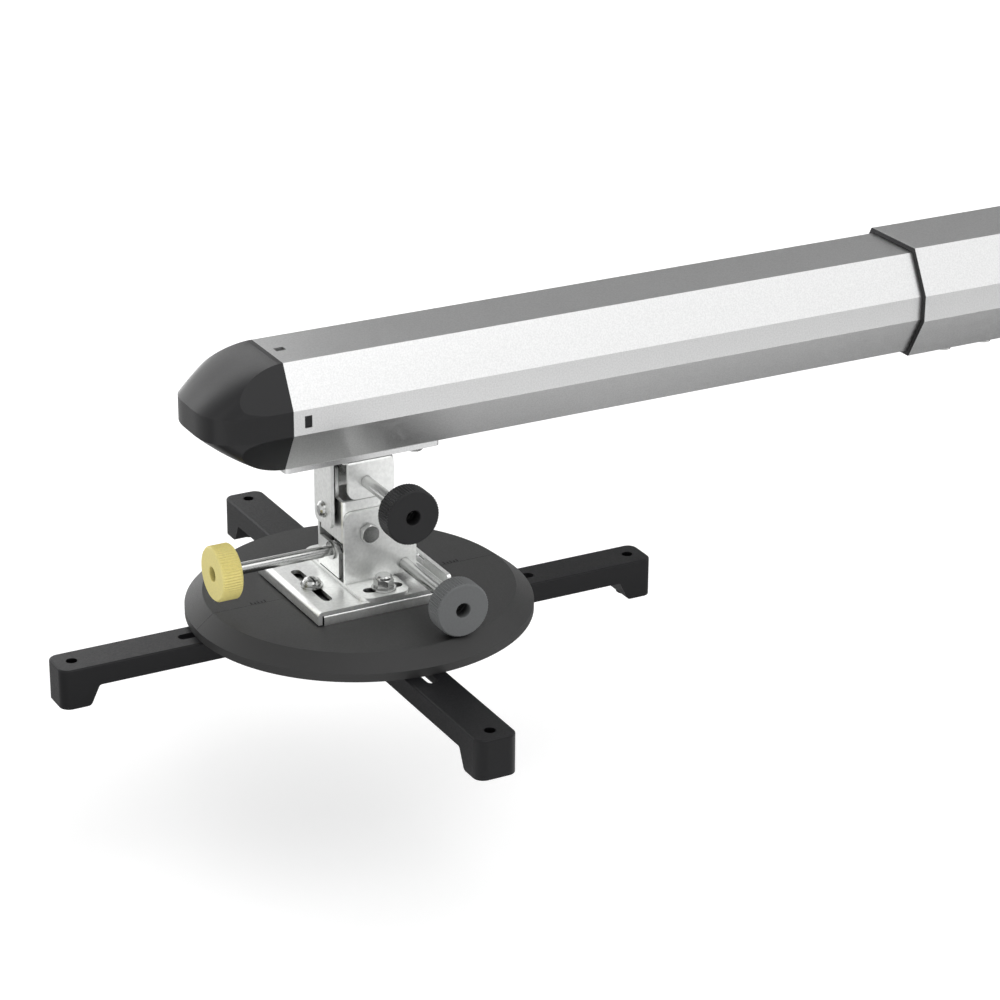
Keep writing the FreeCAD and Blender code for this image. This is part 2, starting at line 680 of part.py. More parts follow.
def roll_screw_clip():
    return screw_clip(ROLL_SEAT - X_AXIS * (SHEET + SEAT), -X_AXIS)


def pitch_screw():
    inner_end = PITCH_PIVOT_Y - EAR_SPAN[0] + 8.0
    return adjuster_screw(PITCH_SEAT, -Y_AXIS, inner_end, PITCH_NECK, EAR_SPAN[0] - PITCH_KNOB_FACE)


def pitch_knob():
    return knob(PITCH_SEAT, -Y_AXIS, EAR_SPAN[0] - PITCH_KNOB_FACE)


def pitch_screw_clips():
    outside = screw_clip(PITCH_SEAT - Y_AXIS * SEAT, -Y_AXIS)
    inside = screw_clip(PITCH_SEAT + Y_AXIS * (SHEET + SEAT), Y_AXIS)
    return group([outside, inside])


def yaw_screw():
    return adjuster_screw(YAW_SEAT, X_AXIS, EAR_FACE + 9.5, SEAT, YAW_KNOB_FACE - EAR_FACE)


def yaw_knob():
    return knob(YAW_SEAT, X_AXIS, YAW_KNOB_FACE - EAR_FACE)


def yaw_screw_clip():
    return screw_clip(YAW_SEAT - X_AXIS * (SHEET + SEAT), -X_AXIS)


# The lower bracket: two ears on a foot plate, with a return at the front for the pitch screw.

def arc_slot(radius, half_angle, half_width, z_low, z_high):
    """A slot that follows an arc about the yaw axis, centred on +X."""
    centre = Vector(0, YAW_PIVOT_Y, z_low)
    height = z_high - z_low
    sweep = half_angle * 2
    band = Part.makeCylinder(radius + half_width, height, centre, Z_AXIS, sweep)
    core = Part.makeCylinder(radius - half_width, height, centre, Z_AXIS)
    band = band.cut(core)
    band.rotate(centre, Z_AXIS, -half_angle)
    ends = []
    for angle in (-half_angle, half_angle):
        turn = math.radians(angle)
        end = centre + Vector(radius * math.cos(turn), radius * math.sin(turn), 0)
        ends.append(rod(half_width, end, end + Z_AXIS * height))
    return fused(band, *ends)


def both_sides(shape):
    """The shape and its twin, half a turn round the yaw axis."""
    twin = shape.copy()
    twin.rotate(Vector(0, YAW_PIVOT_Y, 0), Z_AXIS, 180)
    return [shape, twin]


def lower_bracket():
    ears = []
    for inner, outer in ((EAR_FACE - SHEET, EAR_FACE), (-EAR_FACE, SHEET - EAR_FACE)):
        ear = box((inner, outer), EAR_SPAN, (FOOT_TOP - FOOT_THICKNESS / 2, EAR_TOP))
        for y in EAR_SPAN:
            ear = rounded(ear, 5.0, y=y, z=EAR_TOP)
        lower = box((inner - 1, outer + 1), (FOOT_BACK, EAR_SPAN[1] + 1), (FOOT_TOP - 3, FOOT_TOP + 0.4))
        ears.append(ear.cut(lower))
    front = EAR_SPAN[0]
    tab_bottom = FOOT_TOP + 0.7
    tab = box((-EAR_FACE, FRONT_TAB_END), (front, front + SHEET), (tab_bottom, FRONT_TAB_TOP))
    tab = rounded(tab, 4.0, x=FRONT_TAB_END, z=FRONT_TAB_TOP)
    foot = box((-FOOT_HALF_WIDTH, FOOT_HALF_WIDTH), (front, FOOT_BACK), (SLIDE_TOP, FOOT_TOP))
    for x in (-FOOT_HALF_WIDTH, FOOT_HALF_WIDTH):
        for y in (front, FOOT_BACK):
            foot = rounded(foot, 7.5, x=x, y=y)
    body = fused(ears[0], ears[1], tab, foot)
    bolt_hole = rod(SCREW_RADIUS, Vector(-EAR_FACE - 1, PITCH_PIVOT_Y, PITCH_PIVOT_Z),
                    Vector(EAR_FACE + 1, PITCH_PIVOT_Y, PITCH_PIVOT_Z))
    pitch_hole = rod(SCREW_RADIUS + RUNNING, PITCH_SEAT - Y_AXIS, PITCH_SEAT + Y_AXIS * 4)
    yaw_hole = rod(SCREW_RADIUS + RUNNING, YAW_SEAT - X_AXIS * 4, YAW_SEAT + X_AXIS)
    yaw_pivot_hole = rod(YAW_PIVOT_RADIUS + RUNNING, Vector(0, YAW_PIVOT_Y, SLIDE_TOP - 1),
                         Vector(0, YAW_PIVOT_Y, FOOT_TOP + 1))
    slot_half = SCREW_RADIUS + BOLT_PLAY
    slot = arc_slot(ARC_SLOT_RADIUS, ARC_SLOT_HALF_ANGLE, slot_half, SLIDE_TOP - 1, FOOT_TOP + 1)
    return body.cut([bolt_hole, pitch_hole, yaw_hole, yaw_pivot_hole] + both_sides(slot))


def pitch_pivot_bolt():
    seat = Vector(EAR_FACE, PITCH_PIVOT_Y, PITCH_PIVOT_Z)
    end = Vector(-EAR_FACE - 8.0, PITCH_PIVOT_Y, PITCH_PIVOT_Z)
    head = hexagon(10.0, seat, X_AXIS * 4.2)
    crown = turned([(0, -1), (6.2, -1), (6.2, 3.4), (5.0, 4.2), (0, 4.2)], seat, X_AXIS)
    return fused(head.common(crown), rod(SCREW_RADIUS, end, seat))


def lock_nut(seat, along, across_flats, height, collar):
    """A self-locking nut: a hexagon with a round collar on top."""
    body = hexagon(across_flats, seat, along * height)
    crown = turned([(0, -1), (across_flats * 0.6, -1), (across_flats * 0.6, height - 0.8),
                    (across_flats / 2, height), (0, height)], seat, along)
    top = seat + along * height
    dome = turned([(0, 0), (across_flats * 0.47, 0), (across_flats * 0.47, collar * 0.6),
                   (across_flats * 0.38, collar), (0, collar)], top, along)
    return fused(body.common(crown), dome)


def pitch_pivot_nut():
    seat = Vector(-EAR_FACE, PITCH_PIVOT_Y, PITCH_PIVOT_Z)
    nut = lock_nut(seat, -X_AXIS, 10.0, 4.6, 1.8)
    return nut.cut(rod(SCREW_RADIUS, seat + X_AXIS, seat - X_AXIS * 10))


# The yaw axis: a pivot rivet, and two studs on the slide plate that ride in the arc slots.

YAW_PIVOT_RADIUS = 4.0
WASHER_THICKNESS = 1.2


def yaw_pivot():
    seat = Vector(0, YAW_PIVOT_Y, FOOT_TOP + RUNNING)
    low = Vector(0, YAW_PIVOT_Y, SLIDE_BOTTOM)
    head = turned([(0, 0), (6.5, 0), (6.2, 1.2), (4.6, 2.0), (0, 2.2)], seat, Z_AXIS)
    shank = rod(YAW_PIVOT_RADIUS, low, seat)
    tail = rod(6.0, low - Z_AXIS * 1.4, low)
    return fused(head, shank, tail)


def yaw_stud_places():
    return [Vector(x, YAW_PIVOT_Y, 0) for x in (ARC_SLOT_RADIUS, -ARC_SLOT_RADIUS)]


STUD_TOP = FOOT_TOP + WASHER_THICKNESS + 6.6


def yaw_studs():
    low = Z_AXIS * SLIDE_BOTTOM
    top = Z_AXIS * STUD_TOP
    return group([rod(SCREW_RADIUS, place + low, place + top) for place in yaw_stud_places()])


def yaw_washers():
    low = FOOT_TOP + RUNNING
    return group([ring(7.0, SCREW_RADIUS, p + Z_AXIS * low, p + Z_AXIS * (low + WASHER_THICKNESS))
                  for p in yaw_stud_places()])


def yaw_lock_nuts():
    nuts = []
    for place in yaw_stud_places():
        seat = place + Z_AXIS * (FOOT_TOP + RUNNING + WASHER_THICKNESS)
        nut = lock_nut(seat, Z_AXIS, 10.0, 5.2, 2.2)
        nuts.append(nut.cut(rod(SCREW_RADIUS, seat - Z_AXIS, place + Z_AXIS * STUD_TOP)))
    return group(nuts)


# The slide plate, the rail that it runs on, and the bars that hold it in the rail.

RAIL_TOP = SLIDE_BOTTOM - RUNNING
LIP_BOTTOM = RAIL_TOP - RAIL_SHEET
BAR_TOP = LIP_BOTTOM - SEAT
BAR_BOTTOM = DISC_TOP + RAIL_SHEET + 0.9
BAR_HALF_LENGTH = 37.0
LOCK_SCREW_RADIUS = 2.5


def slide_plate():
    half = SLIDE_HALF_WIDTH
    whole = (-half, half)
    front = SLIDE_FRONT
    back = SLIDE_BACK
    thickness = SLIDE_THICKNESS
    plate = box(whole, (front, back), (SLIDE_BOTTOM, SLIDE_TOP))
    fold = box(whole, (front, front + thickness), (SLIDE_FOLD_BOTTOM, SLIDE_TOP))
    flange = box(whole, (back - thickness, back), (SLIDE_BOTTOM, SLIDE_FLANGE_TOP))
    for x in whole:
        flange = rounded(flange, 2.0, x=x, z=SLIDE_FLANGE_TOP)
    body = fused(plate, fold, flange)
    body = rounded(body, 2.8, y=front, z=SLIDE_TOP)
    body = rounded(body, 2.8, y=back, z=SLIDE_BOTTOM)
    body = rounded(body, 0.5, y=back - thickness, z=SLIDE_TOP)
    low = SLIDE_BOTTOM - 1
    deep = Z_AXIS * (thickness + 2)
    slot_radius = LOCK_SCREW_RADIUS + 0.5
    start = Vector(LOCK_SLOT[0] + slot_radius, LOCK_SCREW_AT[1], low)
    end = Vector(LOCK_SLOT[1] - slot_radius, LOCK_SCREW_AT[1], low)
    lock_slot = slot_cutter(slot_radius, start, end, deep)
    play = Y_AXIS * 0.4
    nut_place = Vector(0, YAW_SCREW_Y, low)
    nut_slot = slot_cutter(JOURNAL_RADIUS + JOURNAL_PLAY, nut_place - play, nut_place + play, deep)
    pivot_hole = rod(YAW_PIVOT_RADIUS, Vector(0, YAW_PIVOT_Y, low), Vector(0, YAW_PIVOT_Y, SLIDE_TOP + 1))
    studs = [rod(SCREW_RADIUS, p + Z_AXIS * low, p + Z_AXIS * (SLIDE_TOP + 1)) for p in yaw_stud_places()]
    window_at = Vector(1.2, back - thickness - 1, SLIDE_TOP + 3.7)
    window = slot_cutter(1.5, window_at, window_at + X_AXIS * 9, Y_AXIS * (thickness + 2))
    return body.cut([lock_slot, nut_slot, pivot_hole, window] + studs)


def quick_release_rail():
    """A channel with inward lips, open at both ends."""
    half = SLIDE_HALF_WIDTH
    start, end = RAIL_SPAN
    outside = box((-half, half), (start, end), (DISC_TOP, RAIL_TOP))
    inner = half - RAIL_SHEET
    hollow = box((-inner, inner), (start - 1, end + 1), (DISC_TOP + RAIL_SHEET, LIP_BOTTOM))
    mouth_half = half - RAIL_LIP
    mouth = box((-mouth_half, mouth_half), (start - 1, end + 1), (LIP_BOTTOM - 1, RAIL_TOP + 1))
    body = outside.cut([hollow, mouth])
    for x in (-half, half):
        body = rounded(body, 1.2, x=x, z=RAIL_TOP)
    return body.cut(rail_rivet_cutters())


def rail_rivet_places():
    return [Vector(x, YAW_PIVOT_Y + y, 0) for x in (-25.0, 25.0) for y in (-20.0, 20.0)]


RIVET_HEAD = 4.2
RIVET_RADIUS = 2.4


def rail_rivet_profile():
    """Flush head in the rail's floor, shank through the disc and a tail under it."""
    floor = DISC_TOP + RAIL_SHEET
    under = DISC_TOP - DISC_SHELL
    return [(0, floor), (RIVET_HEAD, floor), (RIVET_RADIUS, DISC_TOP), (RIVET_RADIUS, under),
            (4.2, under), (3.6, under - 1.4), (0, under - 1.4)]


def rail_rivets():
    return group([turned(rail_rivet_profile(), place, Z_AXIS) for place in rail_rivet_places()])


def rail_rivet_cutters():
    floor = DISC_TOP + RAIL_SHEET
    under = DISC_TOP - DISC_SHELL
    profile = [(0, floor), (RIVET_HEAD, floor), (RIVET_RADIUS, DISC_TOP),
               (RIVET_RADIUS, under - 1), (0, under - 1)]
    return [turned(profile, place, Z_AXIS) for place in rail_rivet_places()]


def lock_place(z):
    return Vector(LOCK_SCREW_AT[0], LOCK_SCREW_AT[1], z)


def clamp_bar():
    """Sits under the lips and is drawn up by the lock screw."""
    bar = box((-BAR_HALF_LENGTH, BAR_HALF_LENGTH), (16.0, 28.0), (BAR_BOTTOM, BAR_TOP))
    return bar.cut(rod(LOCK_SCREW_RADIUS, lock_place(BAR_BOTTOM - 1), lock_place(BAR_TOP + 1)))


def guide_bar():
    """Welded under the slide plate near its back, with its ends under the lips."""
    bar = box((-BAR_HALF_LENGTH, BAR_HALF_LENGTH), (80.0, 89.0), (BAR_BOTTOM, BAR_TOP))
    block_half = SLIDE_HALF_WIDTH - RAIL_LIP - 2.0
    block = box((-block_half, block_half), (80.0, 89.0), (BAR_TOP - 0.5, SLIDE_BOTTOM))
    return fused(bar, block)


def lock_screw():
    """A slotted pan head on the clamp bar's screw."""
    seat = lock_place(SLIDE_TOP + WASHER_THICKNESS)
    head = turned([(0, 0), (5.2, 0), (5.2, 1.6), (4.4, 2.8), (2.4, 3.4), (0, 3.5)], seat, Z_AXIS)
    drive = box((seat.x - 6, seat.x + 6), (seat.y - 0.6, seat.y + 0.6), (seat.z + 2.0, seat.z + 4))
    shank = rod(LOCK_SCREW_RADIUS, lock_place(BAR_BOTTOM), seat)
    return fused(head, shank).cut(drive)


def lock_washer():
    seat = lock_place(SLIDE_TOP)
    return ring(6.5, LOCK_SCREW_RADIUS, seat, seat + Z_AXIS * WASHER_THICKNESS)


# The disc: a moulded shell with a bevelled edge, ribs, and a boss for each leg's clamp bolt.

BOSS_RADIUS = 11.0
BOLT_HOLE_DEPTH = 7.5


def around_disc(shape, turns):
    """The shape turned about the disc's axis, once for each angle."""
    copies = []
    for angle in turns:
        twin = shape.copy()
        twin.rotate(Vector(0, YAW_PIVOT_Y, 0), Z_AXIS, angle)
        copies.append(twin)
    return copies


def clamp_place(z):
    """The clamp bolt of the leg that points along +X."""
    return Vector(LEG_CLAMP_AT, YAW_PIVOT_Y + LEG_OFFSET, z)


def disc():
    centre = Vector(0, YAW_PIVOT_Y, 0)
    bevel_foot = DISC_TOP - DISC_BEVEL
    outline = [(0, DISC_TOP), (DISC_TOP_RADIUS, DISC_TOP), (DISC_RADIUS, bevel_foot),
               (DISC_RADIUS, LEG_TOP)]
    inner_radius = DISC_RADIUS - DISC_SHELL
    under = DISC_TOP - DISC_SHELL
    hollow = [(inner_radius, LEG_TOP), (inner_radius, bevel_foot - 1.2),
              (DISC_TOP_RADIUS - 1.2, under), (0, under)]
    body = turned(outline + hollow, centre, Z_AXIS)
    top = Vector(0, YAW_PIVOT_Y, under + 0.5)
    low = Vector(0, YAW_PIVOT_Y, LEG_TOP + 1.5)
    ribs = [ring(50.0, 47.5, low, top)]
    for sign in (1, -1):
        spans = sorted((sign * 49.0, sign * (inner_radius - 0.5)))
        ribs.append(box(tuple(spans), (YAW_PIVOT_Y - 1.2, YAW_PIVOT_Y + 1.2), (LEG_TOP + 4.0, under + 0.5)))
    ribs = ribs + around_disc(group(ribs[1:]), [45, 90, 135])
    inside = turned(outline + [(0, LEG_TOP)], centre, Z_AXIS)
    ribs = [rib.common(inside) for rib in ribs]
    boss = rod(BOSS_RADIUS, clamp_place(LEG_TOP), clamp_place(under + 0.5))
    hole = rod(SCREW_RADIUS + RUNNING, clamp_place(LEG_TOP - 1), clamp_place(LEG_TOP + BOLT_HOLE_DEPTH))
    body = fused(body, *ribs)
    body = fused(body, *around_disc(boss, LEG_TURNS))
    rivet_holes = [rod(RIVET_RADIUS, place + Z_AXIS * (under - 1), place + Z_AXIS * (DISC_TOP + 1))
                   for place in rail_rivet_places()]
    return body.cut(around_disc(hole, LEG_TURNS) + rivet_holes)


# The legs: channels open below, each with a slot for its clamp bolt and a hollow foot.

LEG_TURNS = [0, 90, 180, 270]
LEG_NAMES = ["right", "rear", "left", "front"]


def leg():
    """The leg that points along +X, before it is turned into place."""
    low = LEG_TOP - LEG_HEIGHT
    foot = LEG_TOP - LEG_FOOT_HEIGHT
    half = LEG_WIDTH / 2
    middle = YAW_PIVOT_Y + LEG_OFFSET
    outline = [(LEG_INNER_END, LEG_TOP), (LEG_OUTER_END, LEG_TOP), (LEG_OUTER_END, foot),
               (LEG_OUTER_END - 16.5, foot), (LEG_OUTER_END - 22.0, low), (LEG_INNER_END, low)]
    body = prism([Vector(x, middle - half, z) for x, z in outline], Y_AXIS * LEG_WIDTH)
    for y in (middle - half, middle + half):
        body = rounded(body, 6.0, x=LEG_OUTER_END, y=y)
    body = rounded(body, 3.0, x=LEG_OUTER_END - 16.5, z=foot)
    body = rounded(body, 2.0, x=LEG_OUTER_END - 22.0, z=low)
    rim = [e for e in body.Edges if leg_rim_edge(e)]
    body = body.makeFillet(1.2, rim)
    inner = half - 2.5
    channel = box((LEG_INNER_END - 1, LEG_OUTER_END - 24.5), (middle - inner, middle + inner),
                  (low - 1, LEG_TOP - LEG_SKIN))
    foot_room = box((LEG_OUTER_END - 24.5, LEG_OUTER_END - 2.5), (middle - inner, middle + inner),
                    (low, LEG_TOP - LEG_SKIN))
    foot_slot = box((LEG_OUTER_END - 14.0, LEG_OUTER_END - 2.5), (middle - inner, middle + inner),
                    (foot - 1, low + 1))
    body = body.cut([channel, foot_room, foot_slot])
    hole_at = Vector(LEG_HOLE_AT, middle, 0)
    tower = rod(LEG_HOLE_RADIUS + 3.0, hole_at + Z_AXIS * foot, hole_at + Z_AXIS * (LEG_TOP - 1))
    inside = box((LEG_INNER_END, LEG_OUTER_END - 2), (middle - half, middle + half), (foot, LEG_TOP))
    tower = tower.common(inside)
    body = fused(body, tower)
    hole = rod(LEG_HOLE_RADIUS, hole_at + Z_AXIS * (foot - 1), hole_at + Z_AXIS * (LEG_TOP + 1))
    play = SCREW_RADIUS + BOLT_PLAY
    start = Vector(LEG_SLOT[0], middle, low)
    end = Vector(LEG_SLOT[1], middle, low)
    slot = slot_cutter(play, start, end, Z_AXIS * (LEG_HEIGHT + 1))
    return body.cut([hole, slot])


def leg_rim_edge(edge):
    """True for the level edges round the outer end of the leg's top."""
    middle = edge.valueAt((edge.FirstParameter + edge.LastParameter) / 2)
    level = all(abs(vertex.Z - LEG_TOP) < 1e-4 for vertex in edge.Vertexes)
    return level and middle.x > LEG_INNER_END + 1


CLAMP_WASHER = 1.6
CLAMP_HEAD = 4.0


def clamp_bolt():
    seat = clamp_place(LEG_TOP - LEG_SKIN - SEAT - CLAMP_WASHER)
    tip = clamp_place(LEG_TOP + BOLT_HOLE_DEPTH - 1.0)
    head = hexagon(10.0, seat, -Z_AXIS * CLAMP_HEAD)
    crown = turned([(0, -1), (6.2, -1), (6.2, 3.3), (5.0, CLAMP_HEAD), (0, CLAMP_HEAD)], seat, -Z_AXIS)
    return fused(head.common(crown), rod(SCREW_RADIUS, seat, tip))


def clamp_washer():
    top = clamp_place(LEG_TOP - LEG_SKIN - SEAT)
    return ring(8.0, SCREW_RADIUS, top - Z_AXIS * CLAMP_WASHER, top)


def pieces():
    named = {
        "wall_plate": wall_plate(),
        "tube_fixing_screws": tube_fixing_screws(),
        "outer_tube": outer_tube(),
        "guide_collar": guide_collar(),
        "arm_lock_nuts": arm_lock_nuts(),
        "arm_lock_screws": arm_lock_screws(),
        "inner_tube": inner_tube(),
        "end_cap": end_cap(),
        "hanger_strip": hanger_strip(),
        "top_bracket": top_bracket(),
        "hanger_bolts": hanger_bolts(),
        "hanger_nuts": hanger_nuts(),
        "roll_rivets": roll_rivets(),
        "roll_spacers": roll_spacers(),
        "middle_link": middle_link(),
        "roll_nut": roll_nut(),
        "roll_screw": roll_screw(),
        "roll_knob": roll_knob(),
        "roll_screw_clip": roll_screw_clip(),
        "lower_bracket": lower_bracket(),
        "pitch_pivot_bolt": pitch_pivot_bolt(),
        "pitch_pivot_nut": pitch_pivot_nut(),
        "pitch_nut": pitch_nut(),
        "pitch_screw": pitch_screw(),
        "pitch_knob": pitch_knob(),
        "pitch_screw_clips": pitch_screw_clips(),
        "slide_plate": slide_plate(),
        "yaw_pivot": yaw_pivot(),
        "yaw_studs": yaw_studs(),
        "yaw_washers": yaw_washers(),
        "yaw_lock_nuts": yaw_lock_nuts(),
        "yaw_nut": yaw_nut(),
        "yaw_screw": yaw_screw(),
        "yaw_knob": yaw_knob(),
        "yaw_screw_clip": yaw_screw_clip(),
        "clamp_bar": clamp_bar(),
        "guide_bar": guide_bar(),
        "lock_screw": lock_screw(),
        "lock_washer": lock_washer(),
        "quick_release_rail": quick_release_rail(),
        "rail_rivets": rail_rivets(),
        "disc": disc(),
    }
    for name, angle in zip(LEG_NAMES, LEG_TURNS):
        named["leg_" + name] = around_disc(leg(), [angle])[0]
        named["clamp_bolt_" + name] = around_disc(clamp_bolt(), [angle])[0]
        named["clamp_washer_" + name] = around_disc(clamp_washer(), [angle])[0]
    return named


os.makedirs("parts", exist_ok=True)
for name, shape in pieces().items():
    shape.translate(Vector(0, -REACH, 0))
    shape.exportStep("parts/" + name + ".step")
    reach = shape.BoundBox
    low = [round(v, 1) for v in (reach.XMin, reach.YMin, reach.ZMin)]
    high = [round(v, 1) for v in (reach.XMax, reach.YMax, reach.ZMax)]
    print(name, len(shape.Solids), shape.isValid(), round(shape.Volume), low, high)
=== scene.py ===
# %% [markdown]
# # A projector wall mount, dressed for rendering
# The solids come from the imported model: a telescopic arm of eight-sided tube, a joint block of folded
# steel with three adjusting screws, and a round cradle with four legs. This lesson gives them their
# surfaces, adds the small things that solids leave out, and sets up a plain studio round them.
# Lengths are in metres. +Z is up, +Y points into the wall and the wall is at y = 0.
#
# Every piece is a mesh with a material of nodes. Textures could carry part of it, but a node material
# needs no image, has no seams on folded sheet, and its grain keeps one size on every piece.

# %% Load the frame
import json
import math

import bpy
from mathutils import Matrix, Vector


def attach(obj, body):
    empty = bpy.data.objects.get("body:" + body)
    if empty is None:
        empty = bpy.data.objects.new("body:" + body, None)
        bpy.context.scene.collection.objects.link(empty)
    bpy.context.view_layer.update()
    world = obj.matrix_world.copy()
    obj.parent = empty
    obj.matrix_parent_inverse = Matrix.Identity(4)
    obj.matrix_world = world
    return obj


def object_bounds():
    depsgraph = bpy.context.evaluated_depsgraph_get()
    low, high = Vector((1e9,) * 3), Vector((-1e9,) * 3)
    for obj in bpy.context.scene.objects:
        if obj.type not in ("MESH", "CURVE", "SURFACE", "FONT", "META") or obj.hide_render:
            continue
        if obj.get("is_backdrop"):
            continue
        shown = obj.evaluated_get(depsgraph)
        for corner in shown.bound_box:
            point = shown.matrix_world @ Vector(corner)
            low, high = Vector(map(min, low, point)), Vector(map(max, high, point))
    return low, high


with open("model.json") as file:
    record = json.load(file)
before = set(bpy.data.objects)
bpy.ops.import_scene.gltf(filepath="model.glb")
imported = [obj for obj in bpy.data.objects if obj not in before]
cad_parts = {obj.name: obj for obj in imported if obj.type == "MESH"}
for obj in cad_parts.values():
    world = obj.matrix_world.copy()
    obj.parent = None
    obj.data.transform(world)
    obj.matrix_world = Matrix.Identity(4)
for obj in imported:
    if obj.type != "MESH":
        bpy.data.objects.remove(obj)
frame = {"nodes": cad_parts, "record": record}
cad_low, cad_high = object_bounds()
nodes = frame["nodes"]
print(len(nodes), "nodes, box", [round(v, 4) for v in cad_low], [round(v, 4) for v in cad_high])

# %% [markdown]
# ## Materials
# Every surface here is made of nodes: a shader, a noise that breaks the roughness up, and a bump. The
# noise is laid out in object coordinates, which are metres, so a scale of 900 is a grain of about 1 mm.
# Constant values sit on the shader's own sockets, which keeps each material easy to read and to change.

# %% A new material


def new_material(name, color, roughness, metallic=0.0):
    """A material with one shader, whose constants sit on the shader's own sockets."""
    material = bpy.data.materials.new(name)
    material.use_nodes = True
    shader = material.node_tree.nodes["Principled BSDF"]
    shader.inputs["Base Color"].default_value = (*color, 1.0)
    shader.inputs["Roughness"].default_value = roughness
    shader.inputs["Metallic"].default_value = metallic
    return material, shader


def link(material, source, target):
    """Joins an output to an input."""
    material.node_tree.links.new(source, target)


print("materials at the start:", len(bpy.data.materials))

# %% [markdown]
# One noise can steer several things. spread maps it onto a narrow range, for the roughness, and tint
# mixes two close tones by it. A flat value would look like plastic foil, because nothing real is that
# even.

# %% Noise, its range and its tones
NOISE_LOW, NOISE_HIGH = 0.3, 0.7
TONE_DARK_AT, TONE_LIGHT_AT = 0.35, 0.65


def noise(material, scale, detail=4.0):
    """A noise in object coordinates."""
    tree = material.node_tree
    where = tree.nodes.new("ShaderNodeTexCoord")
    texture = tree.nodes.new("ShaderNodeTexNoise")
    texture.inputs["Scale"].default_value = scale
    texture.inputs["Detail"].default_value = detail
    link(material, where.outputs["Object"], texture.inputs["Vector"])
    return texture.outputs["Fac"]


def spread(material, source, low, high, target):
    """Maps a noise onto the range low to high and feeds it to a socket."""
    reach = material.node_tree.nodes.new("ShaderNodeMapRange")
    reach.inputs["From Min"].default_value = NOISE_LOW
    reach.inputs["From Max"].default_value = NOISE_HIGH
    reach.inputs["To Min"].default_value = low
    reach.inputs["To Max"].default_value = high
    link(material, source, reach.inputs["Value"])
    link(material, reach.outputs["Result"], target)


def tint(material, source, dark, light, target):
    """Mixes two close tones of one colour by a noise."""
    ramp = material.node_tree.nodes.new("ShaderNodeValToRGB")
    ramp.color_ramp.elements[0].position = TONE_DARK_AT
    ramp.color_ramp.elements[1].position = TONE_LIGHT_AT
    ramp.color_ramp.elements[0].color = (*dark, 1.0)
    ramp.color_ramp.elements[1].color = (*light, 1.0)
    link(material, source, ramp.inputs["Fac"])
    link(material, ramp.outputs["Color"], target)


print("noise from", NOISE_LOW, "to", NOISE_HIGH, "is spread over each range")

# %% [markdown]
# The bump makes the grain catch light. Inner corners get painted shade: an occlusion node looks a few
# millimetres round each point and darkens the base colour where other surfaces stand close. So slots,
# crevices and deep holes carry their shade painted into their colour.

# %% Bump and painted corner shade
CLOSED_IN, OPEN = 0.22, 0.64


def bump(material, source, shader, strength, distance):
    """Raises the surface by a noise. distance is the height in metres."""
    node = material.node_tree.nodes.new("ShaderNodeBump")
    node.inputs["Strength"].default_value = strength
    node.inputs["Distance"].default_value = distance
    link(material, source, node.inputs["Height"])
    link(material, node.outputs["Normal"], shader.inputs["Normal"])


def paint_corner_shade(material, shader, distance, darkest):
    """Paints shade into the base colour of inner corners and deep holes, where other surfaces stand
    close.
    """
    tree = material.node_tree
    reach = tree.nodes.new("ShaderNodeAmbientOcclusion")
    reach.samples = 8
    reach.inputs["Distance"].default_value = distance
    ramp = tree.nodes.new("ShaderNodeValToRGB")
    ramp.color_ramp.elements[0].position = CLOSED_IN
    ramp.color_ramp.elements[1].position = OPEN
    ramp.color_ramp.elements[0].color = (darkest, darkest, darkest, 1.0)
    mix = tree.nodes.new("ShaderNodeMix")
    mix.data_type = "RGBA"
    mix.blend_type = "MULTIPLY"
    mix.inputs["Factor"].default_value = 1.0
    base = shader.inputs["Base Color"]
    link(material, base.links[0].from_socket, mix.inputs["A"])
    link(material, reach.outputs["AO"], ramp.inputs["Fac"])
    link(material, ramp.outputs["Color"], mix.inputs["B"])
    link(material, mix.outputs["Result"], base)


print("corners are darkest where less than", CLOSED_IN, "of the view is open")

# %% [markdown]
# Metals get their look from what they mirror, so each has a mid roughness that blurs it. The tubes'
# satin anodising sparkles a little: a fine noise moves both its tone and its surface. Anodising also
# dulls the mirror that bare metal becomes at a grazing angle, so its specular tint is below white.
# Otherwise the arm's top would fade into the background when seen along it.
#
# Zinc plating is clouded: a wide cloud moves its roughness and a fine one its tone. The turned parts are
# darker and smoother than the sheet, so they stand out from it.

# %% The metals


def anodised_aluminium():
    """The satin metal of the tubes."""
    material, shader = new_material("anodised aluminium", (0.64, 0.64, 0.64), 0.36, 1.0)
    shader.inputs["Specular Tint"].default_value = (0.70, 0.70, 0.70, 1.0)
    grain = noise(material, 1100.0, 2.0)
    tint(material, grain, (0.62, 0.622, 0.622), (0.70, 0.702, 0.702), shader.inputs["Base Color"])
    spread(material, noise(material, 400.0), 0.30, 0.38, shader.inputs["Roughness"])
    bump(material, grain, shader, 0.25, 0.00005)
    return material


def zinc_steel(name, tone, low, high):
    """Plated steel of a tone, with a roughness from low to high."""
    color = (tone, tone * 1.01, tone * 0.995)
    material, shader = new_material(name, color, (low + high) / 2, 1.0)
    cloud = noise(material, 160.0, 3.0)
    darker = tuple(v * 0.90 for v in color)
    tint(material, noise(material, 520.0, 4.0), darker, color, shader.inputs["Base Color"])
    spread(material, cloud, low, high, shader.inputs["Roughness"])
    bump(material, noise(material, 900.0, 3.0), shader, 0.06, 0.00002)
    # Shade is painted into the colour of the sheet's inner corners and holes.
    paint_corner_shade(material, shader, 0.008, 0.04)
    return material


def powder_coat():
    """The pale paint of the wall plate, with the pores of baked powder."""
    material, shader = new_material("powder coat", (0.62, 0.63, 0.64), 0.45)
    orange_peel = noise(material, 700.0, 2.0)
    spread(material, orange_peel, 0.40, 0.52, shader.inputs["Roughness"])
    bump(material, orange_peel, shader, 0.3, 0.00008)
    return material


